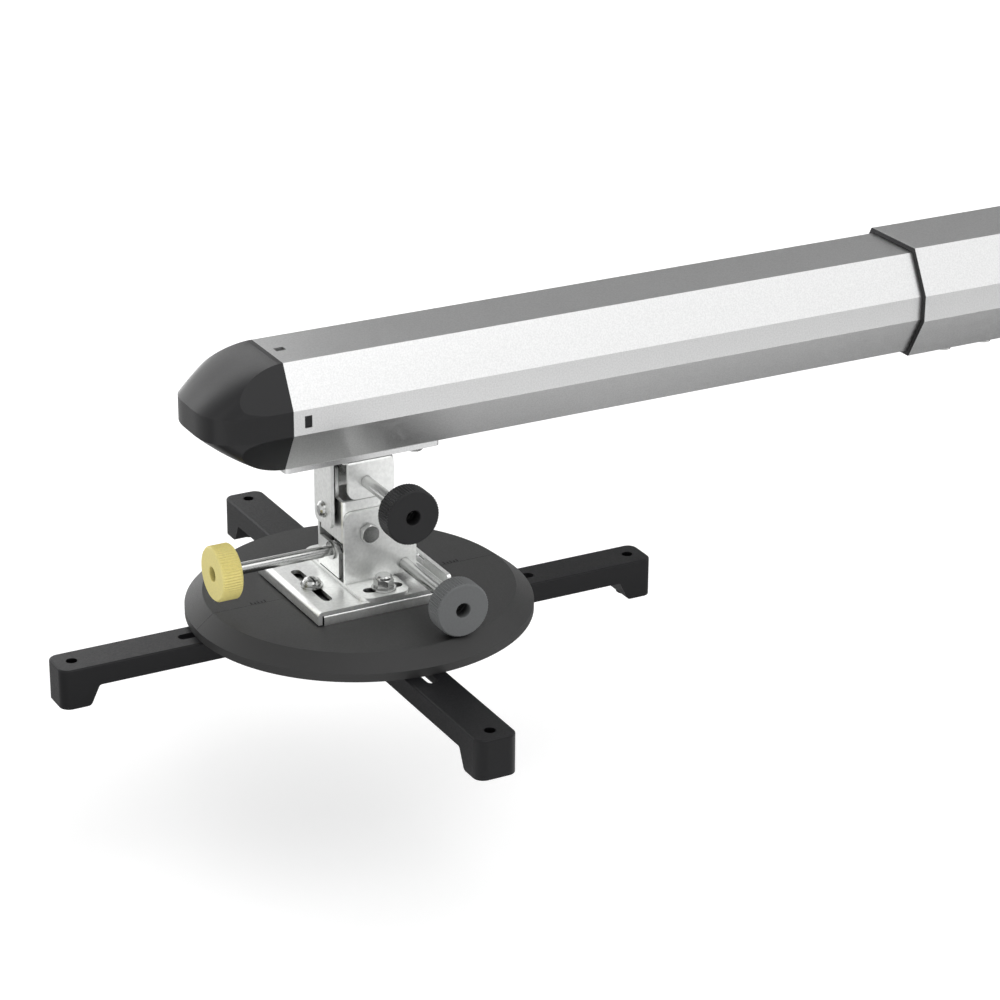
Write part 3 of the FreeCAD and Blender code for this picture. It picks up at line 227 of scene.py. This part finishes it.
aluminium = anodised_aluminium()
steel = zinc_steel("zinc plated sheet", 0.91, 0.36, 0.44)
screw_steel = zinc_steel("zinc plated screw", 0.46, 0.20, 0.26)
painted = powder_coat()
print("metals:", [m.name for m in (aluminium, steel, screw_steel, painted)])

# %% [markdown]
# Moulded plastic is dull at a glance and soft at the edges. Its mould was spark-eroded or blasted, so
# the bump is a fine even grain. Colour and gloss differ from piece to piece, and one function with a few
# numbers for each is easier to compare than seven materials written out.

# %% The plastics


def moulded(name, color, low, high, grain=900.0, depth=0.00004, shine=0.30):
    """Plastic of a colour, with a roughness from low to high. depth is the grain's height in metres."""
    material, shader = new_material(name, color, (low + high) / 2)
    shader.inputs["Specular IOR Level"].default_value = shine
    texture = noise(material, grain, 2.0)
    darker = tuple(v * 0.93 for v in color)
    tint(material, texture, darker, color, shader.inputs["Base Color"])
    spread(material, texture, low, high, shader.inputs["Roughness"])
    bump(material, texture, shader, 0.35, depth)
    # Shade is painted into the colour of the plastic's inner corners and holes.
    paint_corner_shade(material, shader, 0.008, 0.03)
    return material


cap_plastic = moulded("black cap", (0.004, 0.004, 0.005), 0.28, 0.36, 1400.0, shine=0.36)
collar_plastic = moulded("black collar", (0.010, 0.010, 0.011), 0.35, 0.45)
disc_plastic = moulded("charcoal disc", (0.034, 0.034, 0.034), 0.46, 0.56, 1300.0, 0.00006, 0.28)
leg_plastic = moulded("black leg", (0.006, 0.006, 0.007), 0.34, 0.46, 1100.0, 0.00004, 0.22)
yellow_plastic = moulded("yellow knob", (0.88, 0.77, 0.29), 0.42, 0.54, shine=0.25)
black_knob_plastic = moulded("black knob", (0.018, 0.018, 0.019), 0.42, 0.54, shine=0.2)
gray_plastic = moulded("gray knob", (0.150, 0.155, 0.157), 0.42, 0.54, shine=0.2)
plastics = (cap_plastic, collar_plastic, disc_plastic, leg_plastic, yellow_plastic, black_knob_plastic,
            gray_plastic)
print("plastics:", [m.name for m in plastics])

# %% [markdown]
# ## Dressing
# The record names a material slot for each node, and that gives most pieces their material. Turned parts
# share a slot with the sheet, so they are told by their names. Two plastics are set piece by piece.

# %% Dress the solids
by_slot = {
    "silver_aluminium": aluminium,
    "zinc_steel": steel,
    "painted_steel": painted,
    "black_plastic": cap_plastic,
    "disc_plastic": disc_plastic,
    "leg_plastic": leg_plastic,
    "yellow_plastic": yellow_plastic,
    "gray_plastic": gray_plastic,
}
special = {"guide_collar": collar_plastic, "roll_knob": black_knob_plastic}
turned_parts = ("screw", "bolt", "nut", "rivet", "stud", "washer", "clip", "pivot")
slot_of = {entry["node"]: entry["material_slot"] for entry in frame["record"]["subparts"]}
for name, piece in nodes.items():
    material = by_slot[slot_of[name]]
    if material is steel and any(word in name for word in turned_parts):
        material = screw_steel
    material = special.get(name, material)
    piece.data.materials.clear()
    piece.data.materials.append(material)
    for face in piece.data.polygons:
        face.use_smooth = True
print("dressed", len(nodes), "nodes")

# %% [markdown]
# Smooth shading alone would round off the folds of the sheet metal. Where two joined faces turn by more
# than 28 degrees, their edge is marked sharp, so faces stay flat and cylinders stay round. Most folds
# already have separate corners in the loaded meshes, so few edges are left to mark.

# %% Keep the folds crisp


def crisp(mesh, limit_deg=28.0):
    """Marks the edges that turn by more than the limit as sharp, and counts them."""
    sharp = mesh.attributes.get("sharp_edge") or mesh.attributes.new("sharp_edge", "BOOLEAN", "EDGE")
    normals = {}
    for face in mesh.polygons:
        for key in face.edge_keys:
            normals.setdefault(key, []).append(face.normal.copy())
    limit = math.cos(math.radians(limit_deg))
    count = 0
    for edge in mesh.edges:
        found = normals.get(edge.key, [])
        hard = len(found) == 2 and found[0].dot(found[1]) < limit
        sharp.data[edge.index].value = hard
        count += hard
    return count


print("sharp edges:", sum(crisp(piece.data) for piece in nodes.values()))

# %% [markdown]
# ## Small things that the solids leave out
# Each piece below is a mesh built from points. Modifiers on curves could give some of them, but points
# leave no doubt about where a face lies. It rides on one moving body, so it follows every pose, and
# carries one of the materials above.

# %% A helper for added pieces


def add_piece(name, points, faces, material, body):
    """A mesh that rides on a body and carries one material."""
    mesh = bpy.data.meshes.new(name)
    mesh.from_pydata([tuple(p) for p in points], [], faces)
    mesh.materials.append(material)
    mesh.update()
    piece = bpy.data.objects.new(name, mesh)
    bpy.context.scene.collection.objects.link(piece)
    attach(piece, body)
    return piece


MM = 0.001
print("pieces before the small things:", len(nodes))

# %% [markdown]
# The adjusting screws are smooth rods in the solids. Their inner ends carry a real thread: one ridge of
# triangular section that climbs 1 mm a turn. It could be a texture, but a texture has no silhouette, and
# the screw's outline shows in the gap of the joint block. The ridge fades in and out over its first and
# last turn, as a cut thread does.

# %% Screw threads
THREAD_PITCH = 0.001
THREAD_SIDES = 24
THREAD_PROFILE = ((-0.42, -0.03), (0.0, 0.22), (0.42, -0.03))


def thread(name, start, end, radius, body):
    """A helical ridge round the line from start to end. Each point of the profile is a part of the pitch
    along the screw and a height in millimetres."""
    start = Vector(start)
    axis = Vector(end) - start
    length = axis.length
    axis.normalize()
    across = axis.orthogonal().normalized()
    third = axis.cross(across)
    steps = int(length / THREAD_PITCH * THREAD_SIDES)
    points = []
    for i in range(steps + 1):
        turn = math.tau * i / THREAD_SIDES
        outward = across * math.cos(turn) + third * math.sin(turn)
        along = THREAD_PITCH * i / THREAD_SIDES
        fade = min(1.0, i / THREAD_SIDES, (steps - i) / THREAD_SIDES)
        for offset, height in THREAD_PROFILE:
            rise = height * MM if height < 0 else height * fade * MM
            points.append(start + axis * (along + offset * THREAD_PITCH) + outward * (radius + rise))
    faces = []
    for i in range(steps):
        a = i * 3
        faces += [(a, a + 1, a + 4, a + 3), (a + 1, a + 2, a + 5, a + 4)]
    return add_piece(name, points, faces, screw_steel, body)


SCREW_RADIUS = 3.0 * MM
thread_runs = (
    ("roll_screw_thread", (-0.0080, -1.0065, -0.0477), (0.0175, -1.0065, -0.0477), "roll_adjuster"),
    ("pitch_screw_thread", (0, -0.9980, -0.0950), (0, -1.0160, -0.0950), "pitch_adjuster"),
    ("yaw_screw_thread", (-0.0080, -0.9816, -0.1038), (0.0145, -0.9816, -0.1038), "yaw_adjuster"),
    ("pivot_bolt_thread", (-0.0250, -1.0044, -0.0800), (-0.0230, -1.0044, -0.0800), "pitch_head"),
)
threads = [thread(name, start, end, SCREW_RADIUS, body) for name, start, end, body in thread_runs]
print("threads:", [len(piece.data.polygons) for piece in threads])

# %% [markdown]
# A fine parting line runs across the disc, a little to one side of its middle, and over the bevel. It is
# thin enough to be lost in a solid, so it is laid on the disc here, as a ribbon sunk at its edges. Its
# path is given as y and z in millimetres from the disc's centre, out to the bevel's foot.

# %% The disc's parting line
DISC_CENTRE = Vector((0.0, -1.0017, -0.12035))
SEAM_X = -3.2 * MM
SEAM_PATH = ((42.5, 0), (66.0, 0), (89.65, 0), (99.9, -8.05))
SUNK = -0.02 * MM


def strip(points, faces, path, half_width, lift):
    """Adds a raised ribbon along a path in the plane of y and z. It is sunk a little at its edges."""
    base = len(points)
    for y, z in path:
        for x, height in ((-half_width, SUNK), (-half_width * 0.5, lift), (half_width * 0.5, lift),
                          (half_width, SUNK)):
            points.append(DISC_CENTRE + Vector((SEAM_X + x, y, z + height)))
    for i in range(len(path) - 1):
        for j in range(3):
            a = base + i * 4 + j
            faces.append((a, a + 1, a + 5, a + 4))


seam_points, seam_faces = [], []
for sign in (-1, 1):
    path = [(sign * y * MM, z * MM) for y, z in SEAM_PATH]
    if sign < 0:
        path.reverse()
    strip(seam_points, seam_faces, path, 0.30 * MM, 0.04 * MM)
seam = add_piece("disc_seam", seam_points, seam_faces, leg_plastic, "cradle")
print("seam:", len(seam_faces), "faces")

# %% [markdown]
# Beside the line stand short raised strokes, in front of the rail and behind it, that show how far the
# disc is turned. Each is a low block with sloping sides, as it would leave a mould.

# %% The disc's strokes


def add_block(points, faces, low, high, taper):
    """A low block whose top is a little smaller than its foot."""
    base = len(points)
    for z, inset in ((low.z, 0.0), (high.z, taper)):
        for x, y in ((low.x + inset, low.y + inset), (high.x - inset, low.y + inset),
                     (high.x - inset, high.y - inset), (low.x + inset, high.y - inset)):
            points.append(DISC_CENTRE + Vector((x, y, z)))
    faces += [(base + 4, base + 5, base + 6, base + 7)]
    for i in range(4):
        j = (i + 1) % 4
        faces.append((base + i, base + j, base + 4 + j, base + 4 + i))


STROKES, FIRST_STROKE, STROKE_STEP = 5, 57.0, 2.1
LONG_STROKE, SHORT_STROKE = 2.6, 1.6
STROKE_GAP, STROKE_HALF, STROKE_RISE, STROKE_TAPER = 0.6 * MM, 0.35 * MM, 0.30 * MM, 0.12 * MM
mark_points, mark_faces = [], []
for sign in (-1, 1):
    for i in range(STROKES):
        y = sign * (FIRST_STROKE + i * STROKE_STEP) * MM
        reach = (LONG_STROKE if i % 2 == 0 else SHORT_STROKE) * MM
        low = Vector((SEAM_X - STROKE_GAP - reach, y - STROKE_HALF, SUNK))
        high = Vector((SEAM_X - STROKE_GAP, y + STROKE_HALF, STROKE_RISE))
        add_block(mark_points, mark_faces, low, high, STROKE_TAPER)
marks = add_piece("disc_strokes", mark_points, mark_faces, leg_plastic, "cradle")
print("strokes:", len(mark_faces), "faces")

# %% [markdown]
# The outer tube's mouth is folded over the black collar as a narrow bright lip, so that only a thin dark
# line shows between the tubes. The lip is an eight-sided ring, a hair larger than the tube. It could be a
# second solid, but it is thinner than a sheet of paper and only its edge is seen. Each of its rows is a
# growth of the inner tube's section and a place along the arm, in millimetres from the mouth.

# %% The lip at the outer tube's mouth
TUBE_HALF = (33.6, 31.2, 20.75, 7.25)
MOUTH_Y = -0.6416
LIP_ROWS = ((2.70, -1.45), (2.80, -1.45), (2.87, -1.35), (2.87, 0.25), (2.78, 0.35))


def tube_outline(grow):
    """The corners of the tube's eight-sided section, in millimetres, grown outward all round."""
    wide, high, flat, band = TUBE_HALF
    slant = Vector((high - band, wide - flat)).normalized()
    reach = slant.x * flat + slant.y * high + grow
    wide, high = wide + grow, high + grow
    flat, band = (reach - slant.y * high) / slant.x, (reach - slant.x * wide) / slant.y
    quarter = [(flat, high), (wide, band), (wide, -band), (flat, -high)]
    return quarter + [(-x, z) for x, z in reversed(quarter)]


lip_points, lip_faces = [], []
for grow, y in LIP_ROWS:
    lip_points += [Vector((x * MM, MOUTH_Y + y * MM, z * MM)) for x, z in tube_outline(grow)]
for row in range(len(LIP_ROWS) - 1):
    for i in range(8):
        j = (i + 1) % 8
        a = row * 8
        lip_faces.append((a + i, a + j, a + 8 + j, a + 8 + i))
lip = add_piece("mouth_lip", lip_points, lip_faces, aluminium, "wall")
print("lip:", len(lip_faces), "faces")

# %% [markdown]
# ## The studio
# The background is white, as in a catalogue. Flooding the scene with light would do that too, but it
# would wash out the object. So the world and the floor are white only for the rays that look at them,
# from the camera or from a mirroring surface, and the light on the object stays plain. A light path node
# tells those rays apart.
#
# The floor lies well under the legs, catches a soft shadow and glows a little. The glow rises with the
# distance from the object, because the lamps leave the far floor dimmer.

# %% Helpers for the stage


def plane(name, width, depth, place, turn):
    """A flat rectangle. Its object coordinates run from -0.5 to 0.5."""
    bpy.ops.mesh.primitive_plane_add(size=1.0)
    made = bpy.context.object
    made.name = name
    made.scale = (width, depth, 1.0)
    made.location = place
    made.rotation_euler = turn
    return made


def area_lamp(name, power, size, place, target):
    """A round lamp of a given width that faces a target."""
    data = bpy.data.lights.new(name, "AREA")
    data.energy = power
    data.shape = "DISK"
    data.size = size
    lamp = bpy.data.objects.new(name, data)
    bpy.context.scene.collection.objects.link(lamp)
    lamp.location = place
    lamp.rotation_mode = "QUATERNION"
    lamp.rotation_quaternion = (Vector(target) - Vector(place)).to_track_quat("-Z", "Y")
    return lamp


def looked_at(tree, otherwise, seen_value, target):
    """Feeds one value to camera, glossy and transmission rays and another to all the rest."""
    path = tree.nodes.new("ShaderNodeLightPath")
    seen = tree.nodes.new("ShaderNodeMath")
    seen.operation = "MAXIMUM"
    shown = tree.nodes.new("ShaderNodeMath")
    shown.operation = "MAXIMUM"
    value = tree.nodes.new("ShaderNodeMapRange")
    value.inputs["To Min"].default_value = otherwise
    value.inputs["To Max"].default_value = seen_value
    tree.links.new(path.outputs["Is Camera Ray"], seen.inputs[0])
    tree.links.new(path.outputs["Is Glossy Ray"], seen.inputs[1])
    tree.links.new(seen.outputs["Value"], shown.inputs[0])
    tree.links.new(path.outputs["Is Transmission Ray"], shown.inputs[1])
    tree.links.new(shown.outputs["Value"], value.inputs["Value"])
    tree.links.new(value.outputs["Result"], target)
    return value.inputs["To Max"]


print("legs end at z", round(cad_low.z, 4))

# %% [markdown]
# The floor is a plain matt plane with a fine grain. Its glow is a map of the distance from the floor's
# middle, fed to the value that the looking rays get.

# %% Floor
FLOOR_DROP = 0.12
FLOOR_SIZE = 40.0
GLOW_NEAR, GLOW_FAR = 0.24, 0.75
GLOW_FROM, GLOW_TO = 0.8, 2.4

floor_material, floor_shader = new_material("pale floor", (0.98, 0.98, 0.98), 0.7)
floor_grain = noise(floor_material, 60.0)
spread(floor_material, floor_grain, 0.65, 0.75, floor_shader.inputs["Roughness"])
bump(floor_material, floor_grain, floor_shader, 0.05, 0.0002)
floor = plane("floor", FLOOR_SIZE, FLOOR_SIZE, (0, -0.6, cad_low.z - FLOOR_DROP), (0, 0, 0))
floor.data.materials.append(floor_material)
floor_shader.inputs["Emission Color"].default_value = (1.0, 1.0, 1.0, 1.0)
glow = looked_at(floor_material.node_tree, 0.0, GLOW_NEAR, floor_shader.inputs["Emission Strength"])
floor_where = floor_material.node_tree.nodes.new("ShaderNodeTexCoord")
floor_away = floor_material.node_tree.nodes.new("ShaderNodeVectorMath")
floor_away.operation = "LENGTH"
floor_rise = floor_material.node_tree.nodes.new("ShaderNodeMapRange")
floor_rise.inputs["From Min"].default_value = GLOW_FROM / FLOOR_SIZE
floor_rise.inputs["From Max"].default_value = GLOW_TO / FLOOR_SIZE
floor_rise.inputs["To Min"].default_value = GLOW_NEAR
floor_rise.inputs["To Max"].default_value = GLOW_FAR
link(floor_material, floor_where.outputs["Object"], floor_away.inputs[0])
link(floor_material, floor_away.outputs["Value"], floor_rise.inputs["Value"])
link(floor_material, floor_rise.outputs["Result"], glow)
floor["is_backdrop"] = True
print("floor", FLOOR_DROP, "m under the legs, glow", GLOW_NEAR, "to", GLOW_FAR)

# %% [markdown]
# Metal needs something to mirror. Three matt cards, seen only by glossy surfaces, give the arm's faces
# their different grays. The far one hangs beyond the arm for its top and its upper slanted face. The low
# one lies under the arm for the lower slanted face, and the side one lies in front for the band and the
# brackets. Each runs from one tone to another, so the tones run along the arm as well.

# %% Cards


def card(name, tones, width, depth, place, facing):
    """A matt card that only glossy surfaces see. It runs from one tone to another along its length."""
    material, shader = new_material(name, (0.5, 0.5, 0.5), 0.9)
    where = material.node_tree.nodes.new("ShaderNodeTexCoord")
    split = material.node_tree.nodes.new("ShaderNodeSeparateXYZ")
    along = material.node_tree.nodes.new("ShaderNodeMath")
    along.operation = "ADD"
    along.inputs[1].default_value = 0.5
    link(material, where.outputs["Object"], split.inputs["Vector"])
    link(material, split.outputs["Y"], along.inputs[0])
    first, last = ((tone, tone, tone) for tone in tones)
    tint(material, along.outputs["Value"], first, last, shader.inputs["Base Color"])
    grain = noise(material, 30.0)
    spread(material, grain, 0.85, 0.95, shader.inputs["Roughness"])
    bump(material, grain, shader, 0.02, 0.0002)
    made = plane(name, width, depth, place, (0, 0, 0))
    made.rotation_mode = "QUATERNION"
    made.rotation_quaternion = Vector(facing).to_track_quat("Z", "Y")
    made.data.materials.append(material)
    made.visible_camera = False
    made.visible_diffuse = False
    made.visible_shadow = False
    made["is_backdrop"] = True
    return made


middle = Vector((0.0, -0.85, -0.05))
far_card = card("far card", (0.38, 0.40), 5.0, 2.2, (-2.1, 0.3, 1.1), (0.81, -0.44, -0.35))
low_card = card("low card", (0.18, 0.62), 0.9, 2.4, (-0.35, -0.7, cad_low.z - 0.05), (0, 0, 1))
side_card = card("side card", (0.35, 0.80), 0.8, 2.4, (0.90, -0.55, cad_low.z - 0.05), (0, 0, 1))
print("cards:", [c.name for c in (far_card, low_card, side_card)])

# %% [markdown]
# Large soft lamps keep the highlights wide and the shadow faint. The key stands high on the camera's
# side, and a weak fill in front of the cradle. A softbox on the left draws the bright patch on the cap,
# the rear one lies in the mirror of the disc's top, and the side one in that of the arm's upper face.

# %% Lamps
key = area_lamp("key", 25.0, 2.6, (1.5, -0.6, 2.4), middle)
fill = area_lamp("fill", 4.0, 2.0, (0.4, -3.2, 0.9), middle)
left = area_lamp("left softbox", 16.0, 2.0, (-2.0, -1.15, 0.40), middle)
rear = area_lamp("rear softbox", 8.0, 1.8, (-0.33, 1.1, 1.35), middle)
side = area_lamp("side softbox", 2.0, 1.6, (2.1, 1.1, 1.35), middle)
lamps = (key, fill, left, rear, side)
for lamp in lamps:
    lamp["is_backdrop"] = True
print("lamps:", [(lamp.name, lamp.data.energy) for lamp in lamps])

# %% [markdown]
# The world is white where the camera, a mirror or glass looks at it, and dimmer where it lights things,
# so dark plastic stays dark.

# %% The world
world = bpy.data.worlds.new("studio")
bpy.context.scene.world = world
world.use_nodes = True
tree = world.node_tree
background = tree.nodes["Background"]
background.inputs["Color"].default_value = (1.0, 1.0, 1.0, 1.0)
WORLD_LIGHT, WORLD_SEEN = 0.60, 1.0
looked_at(tree, WORLD_LIGHT, WORLD_SEEN, background.inputs["Strength"])
print("world:", world.name, "lights at", WORLD_LIGHT)

# %% [markdown]
# ## The camera
# It looks down at the cradle from the arm's free end, on the side of the knobs. A long lens keeps the
# arm's edges nearly parallel, as in a catalogue picture.

# %% Camera
CAMERA_AT = Vector((1.5168, -1.7285, 0.6451))
AZIMUTH = math.radians(61.67)
ELEVATION = math.radians(22.97)
ROLL = math.radians(0.42)
LENS = 116.16

back = Vector((math.sin(AZIMUTH) * math.cos(ELEVATION), -math.cos(AZIMUTH) * math.cos(ELEVATION),
               math.sin(ELEVATION)))
level = Vector((math.cos(AZIMUTH), math.sin(AZIMUTH), 0.0))
upward = back.cross(level)
right = level * math.cos(ROLL) + upward * math.sin(ROLL)
up = upward * math.cos(ROLL) - level * math.sin(ROLL)
camera_data = bpy.data.cameras.new("camera")
camera_data.lens = LENS
camera_data.sensor_width = 36.0
camera_data.clip_start = 0.05
camera_data.clip_end = 60.0
camera = bpy.data.objects.new("camera", camera_data)
bpy.context.scene.collection.objects.link(camera)
camera.matrix_world = Matrix((
    (right.x, up.x, back.x, CAMERA_AT.x),
    (right.y, up.y, back.y, CAMERA_AT.y),
    (right.z, up.z, back.z, CAMERA_AT.z),
    (0.0, 0.0, 0.0, 1.0),
))
bpy.context.scene.camera = camera
bpy.context.scene.view_settings.view_transform = "Standard"
print("camera", [round(v, 3) for v in CAMERA_AT])

# %% [markdown]
# Last, the box round all pieces is printed. It should match the box of the solids printed at the start,
# because nothing that was added stands out past the solids.

# %% Print the box and finish
low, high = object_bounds()
print("visual box", [round(v, 4) for v in low], [round(v, 4) for v in high])
